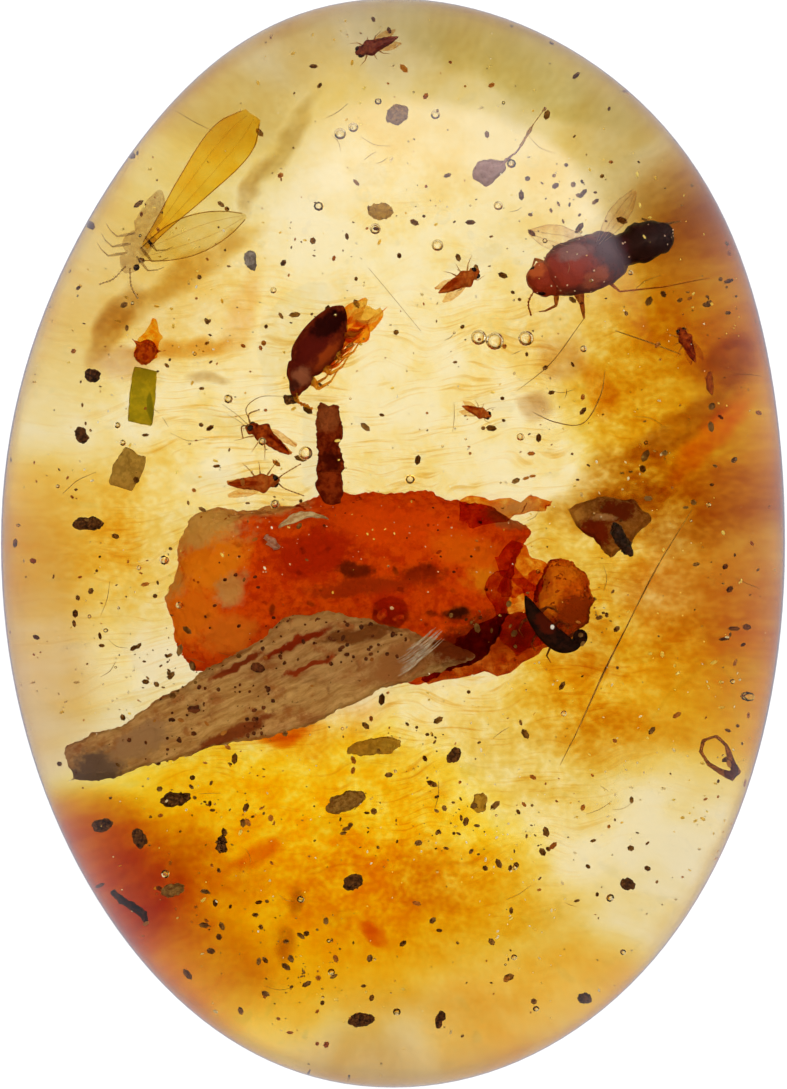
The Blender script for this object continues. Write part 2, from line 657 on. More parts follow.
def brown_beetle():
    """A glossy beetle on its side, with folded legs and torn wings at its rear."""
    def shape(x, turn):
        seam = 1 - 0.05 * math.exp(-((turn - math.pi / 2) / 0.12) ** 2) if x < 0.45 else 1
        waist = 1 - 0.10 * math.exp(-((x - 0.52) / 0.05) ** 2)
        rings = 1 - 0.02 * max(0, math.sin(28 * x)) * (math.sin(turn) < -0.2)
        return seam * waist * rings

    shell = trunk([
        (-1.08, 0.02, 0.02, 0.10), (-1.02, 0.12, 0.11, 0.09), (-0.90, 0.24, 0.22, 0.08),
        (-0.62, 0.38, 0.37, 0.04), (-0.20, 0.46, 0.47, 0.00), (0.25, 0.44, 0.43, 0.00),
        (0.50, 0.36, 0.34, -0.03), (0.60, 0.37, 0.34, -0.05), (0.82, 0.30, 0.27, -0.10),
        (0.93, 0.20, 0.18, -0.16), (1.04, 0.15, 0.13, -0.20), (1.12, 0.05, 0.05, -0.22),
    ], 28, 6, shape)
    legs = []
    for x in (0.55, 0.15, -0.25):
        legs += leg((x, 0.16, -0.25), (x + 0.14, 0.30, -0.50), (x - 0.16, 0.30, -0.62),
                    (x - 0.40, 0.26, -0.60), 0.075)
    legs += beads([(0.98, 0.10, -0.18), (1.16, 0.2, -0.38), (1.10, 0.24, -0.66)], 0.035, 9)
    eyes = [orb((0.98, 0.11, -0.15), (0.07, 0.06, 0.07), 10)]
    tuft = []
    big = ((-0.45, 0.12, -0.20), (-1.55, 0.05, -0.62), 0.62, (0, 1, 0), (0.10, 0.40, 0.52, 0.42, 0.10))
    small = ((-0.60, -0.10, -0.10), (-1.50, -0.12, -0.20), 0.40, (0, 1, 0.2), (0.1, 0.4, 0.5, 0.3, 0.05))
    tuft += [crumpled(leaf(*big, 0.05), 0.14, 0.3), crumpled(leaf(*small, 0.05), 0.10, 0.3)]
    rng = random.Random(3)
    for _ in range(40):
        x = rng.uniform(-1.0, 0.4)
        z = -0.34 - 0.10 * rng.random()
        y = rng.uniform(-0.1, 0.3)
        reach = rng.uniform(0.10, 0.34) + 0.30 * max(0.0, -x - 0.4)
        tuft.append(tube([(x, y, z + 0.1), (x - 0.5 * reach, y, z - 0.3 * reach), (x - 1.4 * reach, y, z - 0.5 * reach)],
                         [0.05, 0.030, 0.006], 5, 3))
    here = dict(at=(-1.62, 4.22, 5.2), turn=(78, 0, 233))
    chitin = rough_matter("brown beetle shell", ((0.26, 0.034, 0.010), (0.16, 0.016, 0.006)), 0.16, 0.16, (
        ((-1.72, 4.28), (1.30, 0.40), 54, (0.12, 0.010, 0.006)),
        ((-1.36, 4.76), (0.66, 0.40), 40, (0.030, 0.004, 0.003)),
        ((-1.40, 4.10), (0.50, 0.16), 52, (0.40, 0.06, 0.010)),
        ((-1.95, 3.60), (0.34, 0.36), -20, (0.34, 0.10, 0.05)),
        ((-2.12, 3.40), (0.24, 0.20), 0, (0.10, 0.02, 0.012)),
    ), 0.02, glow=0.12, soft=0.3)
    orange = rough_matter("beetle leg", ((0.80, 0.26, 0.012), (0.95, 0.48, 0.04)), 0.12, 0.3, glow=0.6)
    flame = rough_matter("beetle wing", ((0.88, 0.20, 0.006), (0.96, 0.42, 0.02)), 0.14, 0.3, (
        ((-0.55, 5.05), (0.6, 0.4), 30, (0.95, 0.60, 0.12)),
    ), glow=0.85)
    dark = rough_matter("beetle eye", ((0.02, 0.008, 0.006), (0.05, 0.015, 0.01)), 0.05, 0.1, relief=0)
    piece = solid("brown_beetle_looks", [
        (chitin, placed([shell], **here)), (orange, placed(both_sides(legs), **here)),
        (flame, placed(tuft, **here)), (dark, placed(both_sides(eyes), **here)),
    ])
    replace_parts(piece, "brown_beetle")


def long_beetle():
    """A long dark beetle with a smooth rear lobe, a broad rough front and lifted wings."""
    def shape(x, turn):
        neck = 1 - 0.08 * math.exp(-((x + 0.43) / 0.08) ** 2) - 0.06 * math.exp(-((x - 1.10) / 0.06) ** 2)
        rings = 1 - 0.03 * max(0, math.sin(14 * (x + 1.66))) * (x < -0.4)
        seam = 1 - 0.06 * math.exp(-((turn - math.pi / 2) / 0.10) ** 2) * (-0.35 < x < 0.75)
        return neck * rings * seam

    shell = trunk([
        (-1.68, 0.03, 0.03, 0.02), (-1.62, 0.18, 0.16, 0.01), (-1.50, 0.30, 0.27, 0.01),
        (-1.28, 0.39, 0.35, 0.00), (-0.85, 0.42, 0.38, 0.00), (-0.50, 0.37, 0.35, 0.00),
        (-0.38, 0.45, 0.40, 0.00), (-0.05, 0.56, 0.47, 0.00), (0.40, 0.61, 0.49, 0.00),
        (0.80, 0.58, 0.46, -0.02), (1.05, 0.47, 0.39, -0.05), (1.15, 0.42, 0.33, -0.08),
        (1.42, 0.34, 0.27, -0.12), (1.56, 0.22, 0.18, -0.15), (1.62, 0.06, 0.06, -0.16),
    ], 28, 6, shape)
    shell = crumpled(crumpled(shell, 0.06, 0.35), 0.03, 0.12)
    legs = leg((1.10, 0.25, -0.2), (1.25, 0.60, -0.28), (1.50, 0.62, -0.36), (1.62, 0.58, -0.42), 0.06)
    legs += leg((0.70, 0.30, -0.25), (0.74, 0.76, -0.2), (0.80, 0.94, -0.38), (0.83, 1.02, -0.5), 0.11)
    legs += leg((0.15, 0.30, -0.25), (-0.10, 0.80, -0.2), (-1.00, 1.02, -0.3), (-1.90, 1.15, -0.35), 0.04)
    for x, back in ((1.10, 0.20), (0.70, -0.20), (0.15, -0.30)):
        legs += leg((x, -0.30, -0.28), (x + back, -0.52, -0.40), (x + 1.6 * back, -0.40, -0.52),
                    (x + 2.2 * back, -0.32, -0.56), 0.05)
    feelers = beads([(1.50, 0.12, -0.1), (1.75, 0.35, -0.05), (1.80, 0.62, -0.1)], 0.03, 9)
    eyes = [orb((1.38, 0.25, -0.02), (0.11, 0.09, 0.10), 10)]
    wide = ((0.10, -0.30, 0.25), (1.15, -1.00, 0.45), 0.60, (0.1, 0.5, 1), (0.15, 0.42, 0.52, 0.40, 0.12))
    long = ((-0.10, -0.25, 0.38), (-1.30, -1.05, 0.45), 0.50, (0.1, 0.6, 1), (0.10, 0.30, 0.45, 0.40, 0.10))
    here = dict(at=(4.33, 6.18, 4.1), turn=(8, 0, 201.5))
    rear = rough_matter("long beetle shell", ((0.16, 0.016, 0.008), (0.07, 0.008, 0.006)), 0.12, 0.40, (
        ((5.70, 6.70), (2.00, 1.60), 20, (0.024, 0.005, 0.004)),
        ((4.60, 6.36), (0.60, 0.60), 20, (0.06, 0.009, 0.014)),
        ((3.45, 5.80), (1.30, 0.80), 20, (0.30, 0.028, 0.010)),
        ((2.95, 5.95), (0.45, 0.36), 10, (0.55, 0.11, 0.030)),
        ((3.95, 5.40), (0.70, 0.35), 20, (0.10, 0.016, 0.008)),
        ((3.75, 6.30), (0.60, 0.24), 10, (0.26, 0.10, 0.10)),
        ((4.25, 5.75), (0.50, 0.24), 30, (0.34, 0.07, 0.030)),
    ), 0.015, soft=0.35, ragged=0.8)
    red = rough_matter("long beetle leg", ((0.34, 0.07, 0.015), (0.60, 0.22, 0.04)), 0.10, 0.3, glow=0.6)
    dark = rough_matter("long beetle eye", ((0.02, 0.006, 0.006), (0.05, 0.01, 0.01)), 0.05, 0.1, relief=0)
    veil = clear_film("long beetle wing", (0.84, 0.70, 0.62), (0.2, 1.2), 0.25)
    vein = rough_matter("long beetle vein", ((0.60, 0.34, 0.20), (0.46, 0.24, 0.12)), 0.1, glow=0.6)
    pale = rough_matter("long beetle grain", ((0.80, 0.56, 0.40), (0.62, 0.34, 0.22)), 0.05, relief=0)
    dots = sprinkled((placed([shell], **here)[0][0], ()), random.Random(9),
                     ((4.3, 6.1, 1.9, 16), (3.6, 5.9, 0.9, 10)), (0.010, 0.024))
    piece = solid("long_beetle_looks", [
        (rear, placed([shell], **here)), (red, placed(legs + feelers, **here)),
        (dark, placed(both_sides(eyes), **here)), (veil, placed([leaf(*wide), leaf(*long)], **here)),
        (vein, placed(veins(*wide, 0.004, lines=4) + veins(*long, 0.004, lines=4), **here)),
        (pale, dots),
    ])
    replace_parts(piece, "long_beetle")


def black_beetle():
    """A small black beetle, curled along its back, with a round head."""
    spine = [(-0.66, 0.80, 0.0), (-0.58, 0.62, 0.0), (-0.46, 0.36, 0.0), (-0.20, 0.02, 0.03),
             (0.10, -0.22, 0.03), (0.34, -0.26, 0.0), (0.46, -0.14, 0.0), (0.53, 0.0, 0.0)]
    shell = [tube(spine, [0.02, 0.10, 0.17, 0.22, 0.22, 0.15, 0.10, 0.05], 18, 7),
             orb((0.50, -0.10, 0.02), (0.16, 0.18, 0.15), 14)]
    legs = []
    for x, y in ((-0.46, 0.36), (-0.20, 0.05), (0.12, -0.20)):
        legs += leg((x, y, -0.05), (x - 0.26, y - 0.12, -0.08), (x - 0.34, y - 0.30, -0.18),
                    (x - 0.26, y - 0.44, -0.2), 0.05)
        legs += leg((x, y, -0.05), (x + 0.26, y + 0.20, -0.06), (x + 0.40, y + 0.14, -0.16),
                    (x + 0.50, y + 0.08, -0.2), 0.05)
    at = (3.48, -1.95, 5.4)
    black = rough_matter("black beetle shell", ((0.012, 0.006, 0.005), (0.035, 0.010, 0.006)), 0.12, 0.13,
                         (((3.3, -1.7), (0.40, 0.40), 0, (0.09, 0.010, 0.004)),), 0.01, glow=0.1)
    brown = rough_matter("black beetle leg", ((0.10, 0.016, 0.004), (0.30, 0.06, 0.010)), 0.1, 0.3, glow=0.3)
    glint = rough_matter("black beetle glint", ((0.95, 0.92, 0.95), (0.80, 0.76, 0.80)), 0.1, 0.3, relief=0)
    dots = [orb((-0.08, 0.12, 0.235), (0.045, 0.055, 0.02), 10), orb((-0.17, -0.10, 0.20), (0.03, 0.035, 0.02), 8)]
    piece = solid("black_beetle_looks", [(black, placed(shell, at)), (brown, placed(legs, at)),
                                         (glint, placed(dots, at))])
    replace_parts(piece, "black_beetle")


def winged_insect():
    """A pale glassy insect with a long golden wing and a short clear one."""
    body = trunk([
        (-0.92, 0.03, 0.03, 0.0), (-0.70, 0.20, 0.17, 0.0), (-0.25, 0.27, 0.22, 0.0), (0.05, 0.22, 0.20, 0.0),
        (0.15, 0.31, 0.28, 0.04), (0.45, 0.33, 0.30, 0.05), (0.62, 0.20, 0.18, 0.02),
        (0.70, 0.24, 0.22, 0.0), (0.90, 0.22, 0.19, -0.02), (1.00, 0.05, 0.05, -0.04),
    ], 20, 6, lambda x, turn: 1 - 0.08 * max(0, math.sin(22 * x)) * (x < 0.1))
    body = crumpled(body, 0.07, 0.25)
    eyes = [orb((0.84, 0.17, 0.08), (0.08, 0.07, 0.08), 10)]
    legs = []
    for x in (0.62, 0.40, 0.15):
        legs += leg((x, 0.12, -0.12), (x + 0.20, 0.48, -0.18), (x + 0.12, 0.68, -0.34), (x + 0.02, 0.80, -0.45), 0.035)
    legs += beads([(0.92, 0.06, 0), (1.25, 0.22, 0.08), (1.45, 0.46, 0.05)], 0.03, 9)
    long = ((0.36, 0.15, 0.12), (-3.21, 1.12, 0.35), 1.0, (0.1, -0.3, 1),
            (0.08, 0.15, 0.24, 0.34, 0.42, 0.50, 0.55, 0.50, 0.22), 0.05)
    short = ((0.55, 0.15, 0.08), (-1.04, 1.92, -0.10), 0.85, (0, 0.2, 1),
             (0.16, 0.34, 0.46, 0.52, 0.52, 0.44, 0.28, 0.05), 0.05)
    here = dict(at=(-5.20, 6.80, 4.1), turn=(0, 0, 248))
    glassy = clear_film("pale chitin", (0.72, 0.60, 0.50), (0.4, 1.5), 0.16)
    gold = clear_film("golden wing", (0.96, 0.67, 0.07), (0.7, 1.2), 0.5, (
        ((-5.0, 7.9), (0.25, 1.5), -30, (0.92, 0.50, 0.03)),
    ))
    pale = clear_film("clear wing", (0.90, 0.80, 0.50), (0.5, 1.2), 0.5)
    rim = rough_matter("wing edge", ((0.80, 0.50, 0.12), (0.62, 0.34, 0.08)), 0.3, 0.4, glow=0.7)
    chitin = rough_matter("grey chitin", ((0.62, 0.48, 0.28), (0.84, 0.66, 0.38)), 0.12, 0.4, glow=0.7)
    dark = rough_matter("winged insect eye", ((0.03, 0.015, 0.01), (0.06, 0.03, 0.02)), 0.05, 0.2, relief=0)
    edges = [edge for wing in (long, short) for edge in veins(*wing[:5], radius=0.012, lines=2)]
    fine = [line for wing in (long, short) for line in veins(*wing[:5], radius=0.004, lines=4)]
    piece = solid("winged_insect_looks", [
        (glassy, placed([body], **here)), (gold, placed([leaf(*long)], **here)),
        (pale, placed([leaf(*short)], **here)), (rim, placed(edges + fine, **here)),
        (chitin, placed(both_sides(legs), **here)), (dark, placed(eyes, **here)),
    ])
    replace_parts(piece, "winged_insect")


def midge(name, size, at, turn, colours, feeler=None, wing_tint=(0.80, 0.55, 0.30)):
    """A midge: humped thorax, ringed abdomen, big eyes, long legs, two wings and any feelers."""
    body = trunk([
        (-0.60, 0.02, 0.02, -0.06), (-0.34, 0.12, 0.12, -0.03), (-0.02, 0.17, 0.16, 0.0),
        (0.14, 0.22, 0.22, 0.04), (0.28, 0.13, 0.13, 0.0), (0.36, 0.15, 0.15, -0.03), (0.50, 0.04, 0.04, -0.06),
    ], 16, 5, lambda x, turn: 1 - 0.12 * max(0, math.sin(50 * x)) * (x < 0.02))
    eyes = both_sides([orb((0.39, 0.09, 0.0), (0.08, 0.07, 0.08), 8)])
    legs = []
    for x in (0.20, 0.10, 0.02):
        lean = x - 0.10
        legs += leg((x, 0.05, -0.08), (x + 1.5 * lean, 0.24, -0.14), (x + 2.6 * lean, 0.28, -0.28),
                    (x + 3.2 * lean, 0.30, -0.34), 0.020)
    lines = []
    if feeler:
        reach = np.array((*feeler, 0.05)) / size
        middle = (0.58, feeler[1] * 0.45 / size, 0.04)
        lines = beads([(0.44, 0.03, 0), middle, reach], 0.020, 12)
    wing = ((0.14, 0.06, 0.12), (-0.62, 0.20, 0.10), 0.24, (0, -0.3, 1), (0.1, 0.35, 0.5, 0.45, 0.1), 0.015)
    groups = [
        (rough_matter(name + " body", colours, 0.12, 0.2, relief=0.01, glow=0.3), [body]),
        (rough_matter(name + " leg", ((0.50, 0.22, 0.05), (0.66, 0.34, 0.09)), 0.1, 0.4, glow=0.6),
         both_sides(legs + lines)),
        (rough_matter(name + " eye", ((0.01, 0.005, 0.005), (0.03, 0.01, 0.01)), 0.1, 0.15, relief=0), eyes),
        (clear_film(name + " wing", wing_tint, (0.5, 1.2), 0.1), both_sides([leaf(*wing)])),
    ]
    grown = [(shader, placed([(v * size, f) for v, f in parts], at, turn)) for shader, parts in groups]
    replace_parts(solid(name + "_looks", grown), name)


def midges():
    brown = ((0.24, 0.022, 0.004), (0.56, 0.09, 0.010))
    red = ((0.50, 0.08, 0.012), (0.66, 0.18, 0.03))
    maroon = ((0.22, 0.04, 0.03), (0.40, 0.10, 0.05))
    midge("upper_midge", 1.00, (-2.66, 2.30, 5.0), (60, 0, 146), brown, (0.45, 0.70))
    midge("lower_midge", 1.00, (-2.88, 1.30, 4.6), (40, 0, 6), red, (0.95, 0.45))
    midge("middle_gnat", 0.90, (1.45, 5.68, 5.0), (20, 0, 30), red)
    midge("small_gnat", 0.60, (1.80, 2.85, 4.8), (10, 0, 340), red)
    midge("right_gnat", 0.75, (6.10, 4.35, 3.9), (30, 0, 115), brown)
    midge("top_gnat", 0.85, (-0.35, 10.65, 3.2), (15, 0, 203), maroon)


# ------------------------------------------------------------------ plant debris

def plant_chunk():
    """A thick red scrap of plant tissue with a pale fold, films, glints and dark crumbs on it."""
    s = rough_matter("red plant tissue", ((0.90, 0.105, 0.002), (0.64, 0.040, 0.001)), 0.22, 0.35, (
        ((-3.90, 0.40), (1.30, 0.90), 10, (0.76, 0.46, 0.18)),
        ((-4.60, -0.60), (0.60, 1.90), 0, (0.76, 0.38, 0.12)),
        ((-3.70, -0.50), (1.10, 0.80), 40, (0.97, 0.30, 0.014)),
        ((-4.15, -1.55), (0.90, 0.90), 0, (0.92, 0.22, 0.010)),
        ((-2.90, 0.80), (1.60, 0.34), -2, (0.72, 0.36, 0.14)),
        ((-3.35, -1.00), (0.60, 0.50), 50, (0.72, 0.36, 0.14)),
        ((-3.40, -1.95), (1.00, 0.60), 20, (0.85, 0.20, 0.015)),
        ((-1.60, -0.25), (1.50, 0.80), 10, (0.54, 0.024, 0.001)),
        ((0.00, 0.40), (2.20, 0.70), -8, (0.86, 0.085, 0.002)),
        ((-0.80, -0.65), (0.60, 0.34), 0, (0.20, 0.018, 0.002)),
        ((0.60, -0.70), (0.80, 0.30), 10, (0.34, 0.026, 0.002)),
        ((1.60, -0.20), (1.30, 0.60), -25, (0.92, 0.16, 0.004)),
        ((2.10, -0.90), (0.90, 0.50), -20, (0.96, 0.30, 0.010)),
        ((2.50, 0.60), (0.90, 0.40), -20, (0.46, 0.14, 0.05)),
        ((2.00, -2.20), (2.00, 0.90), 20, (0.24, 0.024, 0.002)),
        ((1.35, -1.50), (0.50, 0.26), 0, (0.07, 0.010, 0.003)),
        ((-0.60, -1.00), (2.00, 0.30), 5, (0.46, 0.040, 0.003)),
        ((-0.05, -1.40), (0.70, 0.50), 0, (0.60, 0.030, 0.002)),
    ), 0.05, 0.28, glow=0.6, ragged=1.3, soft=0.35, flecks=((0.30, 0.70, (0.30, 0.022, 0.002)),))
    body = weathered("plant_chunk", 0.055, 0.12, 0.7, 0.4)
    crack = leaf((-2.40, 0.34, 4.16), (-1.36, 0.52, 4.26), 0.20, (0, 0, 1), (0.1, 0.5, 0.42, 0.25, 0.05), 0.05, 0.3, 0.02)
    crack = (crack[0] + np.outer(np.sin(np.pi * (crack[0][:, 0] + 2.40) / 1.04), (0, 0.17, 0)), crack[1])
    crack = crumpled(crack, 0.04, 0.15)
    film = crumpled(leaf((-2.72, 0.12, 4.14), (-2.42, -0.10, 4.22), 0.26, (0, 0, 1),
                         (0.3, 0.5, 0.42, 0.3, 0.2), 0.04), 0.07, 0.12)
    gem = crumpled(orb((-0.06, -1.52, 4.0), (0.42, 0.34, 0.22), 20), 0.10, 0.3)
    fringe = crumpled(leaf((0.60, -2.75, 3.85), (3.60, -1.75, 4.05), 1.05, (0, 0.1, 1),
                           (0.15, 0.42, 0.50, 0.55, 0.40, 0.15), 0.06), 0.22, 0.4)
    flaps = [crumpled(leaf((2.30, -0.15, 4.0), (3.30, -1.15, 4.25), 0.80, (0, 0, 1),
                           (0.30, 0.50, 0.46, 0.40, 0.30), 0.05), 0.16, 0.35),
             crumpled(leaf((2.20, -1.10, 4.0), (3.25, -0.75, 4.2), 0.45, (0.2, 0, 1),
                           (0.20, 0.50, 0.42, 0.50, 0.20), 0.05), 0.12, 0.3),
             crumpled(leaf((2.30, -0.65, 3.9), (2.95, -2.30, 3.95), 1.10, (0.1, 0, 1),
                           (0.30, 0.50, 0.46, 0.52, 0.40), 0.05), 0.14, 0.3),
             crumpled(leaf((1.45, 0.62, 4.0), (3.35, 0.86, 4.1), 0.62, (0.1, 0, 1),
                           (0.50, 0.48, 0.40, 0.26, 0.20, 0.08), 0.05), 0.16, 0.25)]
    rng = random.Random(21)
    dark = sprinkled(body, rng, ((-1.0, -0.4, 3.2, 14), (-3.4, -1.2, 1.0, 10), (1.4, -0.6, 1.2, 8)), (0.014, 0.050))
    pale = sprinkled(body, rng, ((-1.0, 0.0, 3.6, 36), (-2.6, 0.5, 1.2, 22), (1.9, -0.5, 1.0, 8)), (0.008, 0.022))
    cream = rough_matter("cream fold", ((0.95, 0.80, 0.55), (0.80, 0.50, 0.26)), 0.10, 0.25, relief=0.02, glow=0.3)
    pink = rough_matter("pink film", ((0.80, 0.46, 0.38), (0.66, 0.26, 0.18)), 0.08, 0.3, glow=0.3)
    ruby = rough_matter("ruby scrap", ((0.62, 0.015, 0.002), (0.95, 0.12, 0.010)), 0.20, 0.12, relief=0.02, glow=0.2)
    crumb = rough_matter("plant crumb", ((0.05, 0.008, 0.003), (0.16, 0.03, 0.008)), 0.1, 0.4, relief=0)
    glint = rough_matter("plant glint", ((0.98, 0.72, 0.52), (0.90, 0.50, 0.30)), 0.1, 0.2, relief=0)
    edge = clear_film("plant fringe", (0.38, 0.055, 0.004), (0.6, 1.3), 0.25, (
        ((2.5, -2.10), (0.9, 0.40), 25, (0.22, 0.022, 0.001)),
    ))
    flap = clear_film("plant flap", (0.70, 0.19, 0.010), (0.4, 1.4), 0.20, (
        ((2.7, -1.9), (0.5, 0.7), 20, (0.40, 0.07, 0.004)),
        ((2.6, 0.75), (0.9, 0.35), 5, (0.50, 0.22, 0.07)),
    ))
    piece = solid("plant_chunk_looks", [
        (s, [body]), (cream, [crack]), (pink, [film]), (ruby, [gem]), (edge, [fringe]), (flap, flaps),
        (glint, [orb((-0.02, -1.42, 4.24), (0.06, 0.05, 0.04), 8)]),
        (crumb, dark), (glint, pale),
    ])
    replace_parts(piece, "plant_chunk")


def wood_splinter():
    """A pale splinter with fibres along it, red cracks, dark crumbs and a frayed bright patch."""
    s = Shader("pale wood", Roughness=0.45, Transmission_Weight=0.35, IOR=1.0)
    along = s.stretch((1.0, 0.16, 0.4), (0, 0, 26), at=s.warped(0.12, 0.6))
    fibre = s.ramp(s.noise(0.7, 5.0, 0.65, at=along), 0.28, 0.72)
    colour = s.mix(fibre, (0.50, 0.23, 0.07), (0.84, 0.54, 0.23))
    colour = s.mix(s.ramp(s.noise(0.5, 5.0, 0.65), 0.50, 0.66, 0.0, 0.8), colour, (0.44, 0.13, 0.035))
    cracks = s.ramp(s.noise(1.3, 3.0, 0.5, at=s.vector("ADD", along, (7.3, 2.1, 4.0))), 0.60, 0.76, 0.0, 0.7)
    colour = s.mix(cracks, colour, (0.30, 0.05, 0.012))
    warped = s.warped(0.15, 0.35)
    ragged = s.math("SUBTRACT", s.noise(0.14, 4.0, 0.65), 0.5)
    spots = (
        ((-2.10, -2.20), (1.30, 0.14), 27, (0.34, 0.03, 0.006)),
        ((-1.75, -2.66), (0.90, 0.10), 24, (0.40, 0.05, 0.012)),
        ((-3.30, -2.65), (1.00, 0.12), 30, (0.30, 0.045, 0.012)),
        ((-0.75, -2.00), (1.30, 0.24), 8, (0.30, 0.10, 0.025)),
        ((-1.40, -1.50), (1.60, 0.34), 20, (0.72, 0.42, 0.16)),
        ((-6.20, -4.95), (0.90, 0.70), 30, (0.22, 0.13, 0.09)),
        ((-5.30, -4.30), (1.00, 0.50), 30, (0.50, 0.28, 0.14)),
        ((-3.30, -4.10), (1.40, 0.22), 26, (0.30, 0.07, 0.02)),
        ((0.20, -2.60), (1.1, 0.6), 30, (0.52, 0.22, 0.07)),
        ((1.60, -2.10), (1.3, 0.7), 25, (0.24, 0.04, 0.007)),
    )
    for *spot, tint in spots:
        colour = s.mix(s.blotch(spot, warped, ragged, 0.05, 0.55), colour, tint)
    colour = s.mix(s.ramp(s.noise(0.14, 3.0), 0.68, 0.76), colour, (0.16, 0.04, 0.012))
    s.set("Base Color", colour)
    s.bump(s.noise(0.4, 5.0, 0.65, at=along), 0.06)
    body = weathered("wood_splinter", 0.05, 0.08, 0.5, 0.4)
    rng = random.Random(5)
    crumbs = sprinkled(body, rng, ((-4.17, -3.63, 0.06, 1), (-2.86, -2.66, 0.06, 1)), (0.10, 0.12))
    crumbs += sprinkled(body, rng, ((-3.95, -3.62, 0.15, 3), (-0.9, -1.95, 0.8, 26), (-2.3, -2.3, 0.7, 16),
                                    (-3.0, -3.5, 0.5, 12), (-4.9, -4.0, 0.8, 20), (-0.2, -2.2, 0.5, 12),
                                    (-3.6, -3.0, 0.6, 10), (-2.9, -3.9, 0.35, 12)), (0.014, 0.055))
    strands = []
    for _ in range(44):
        x = 0.28 + 0.60 * rng.random()
        y = -2.62 + 0.9 * (x - 0.28) + rng.uniform(-0.22, 0.22)
        z = 5.30 + 0.174 * (0.914 * (x + 2.25) + 0.407 * (y + 3.30)) - 0.20
        strands.append(tube([(x - 0.22, y - 0.13, z - 0.03), (x, y, z + 0.04), (x + 0.24, y + 0.22, z + 0.04)],
                            [0.003, 0.010, 0.003], 5, 3))
    brown = rough_matter("wood crumb", ((0.06, 0.014, 0.005), (0.20, 0.05, 0.015)), 0.1)
    white = rough_matter("frayed fibre", ((0.92, 0.76, 0.62), (0.74, 0.50, 0.34)), 0.1, 0.25, relief=0, glow=0.4)
    piece = solid("wood_splinter_looks", [(s, [body]), (brown, crumbs), (white, strands)])
    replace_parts(piece, "wood_splinter")


